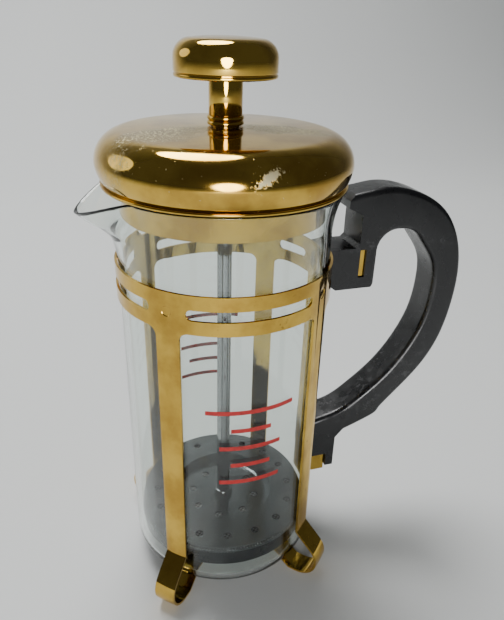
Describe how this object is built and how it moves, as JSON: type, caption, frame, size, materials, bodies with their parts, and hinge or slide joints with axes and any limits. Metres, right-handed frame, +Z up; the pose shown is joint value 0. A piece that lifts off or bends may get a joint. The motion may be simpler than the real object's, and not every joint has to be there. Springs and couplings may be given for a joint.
{
  "type": "french press",
  "caption": "Small plunger coffee maker: glass beaker with spout in a slotted gold-plated frame with curled feet, black D handle, domed lid, knob, rod and perforated filter.",
  "frame": {"origin": "on the beaker's axis, in the plane that the four feet stand on", "axes": "+Z up along the beaker's axis, +X towards the handle, -X towards the spout"},
  "size_m": [0.1376, 0.0796, 0.192],
  "materials": {
    "glass": "clear borosilicate",
    "gold_plate": "polished gold plating, slightly tarnished",
    "black_plastic": "satin moulded",
    "steel": "pressed stainless",
    "steel_mesh": "fine woven mesh",
    "chrome": "polished",
    "nylon": "natural nylon"
  },
  "bodies": {
    "frame_body": {"frame": "gold_plate", "handle_bracket": "gold_plate", "handle": "black_plastic", "handle_screw": "gold_plate", "handle_nut": "gold_plate"},
    "beaker": {"glass_beaker": "glass"},
    "lid": {"lid_dome": "gold_plate", "lid_skirt": "gold_plate", "lid_spacer": "steel", "lid_washer": "steel", "lid_nut": "steel", "neck_tube": "gold_plate", "neck_ferrule": "gold_plate", "guide_bush": "nylon"},
    "plunger": {"plunger_rod": "chrome", "rod_collar": "chrome"},
    "knob": {"knob_cap": "gold_plate", "knob_base": "gold_plate", "knob_insert": "steel"},
    "filter": {"spiral_plate": "steel", "edge_spring": "steel", "mesh_screen": "steel_mesh", "cross_plate": "steel", "filter_nut": "steel"}
  },
  "joints": [
    {"name": "beaker_lift", "type": "slide", "parent": "frame_body", "child": "beaker", "axis": [0, 0, 1], "range_m": [0, 0.125]},
    {"name": "lid_lift", "type": "slide", "parent": "beaker", "child": "lid", "axis": [0, 0, 1], "range_m": [0, 0.14]},
    {"name": "plunger_slide", "type": "slide", "parent": "lid", "child": "plunger", "axis": [0, 0, 1], "range_m": [0, 0.112]},
    {"name": "knob_turn", "type": "hinge", "parent": "plunger", "child": "knob", "pos_m": [0, 0, 0.181], "axis": [0, 0, 1], "continuous": true},
    {"name": "filter_turn", "type": "hinge", "parent": "plunger", "child": "filter", "pos_m": [0, 0, 0.018], "axis": [0, 0, 1], "continuous": true}
  ]
}
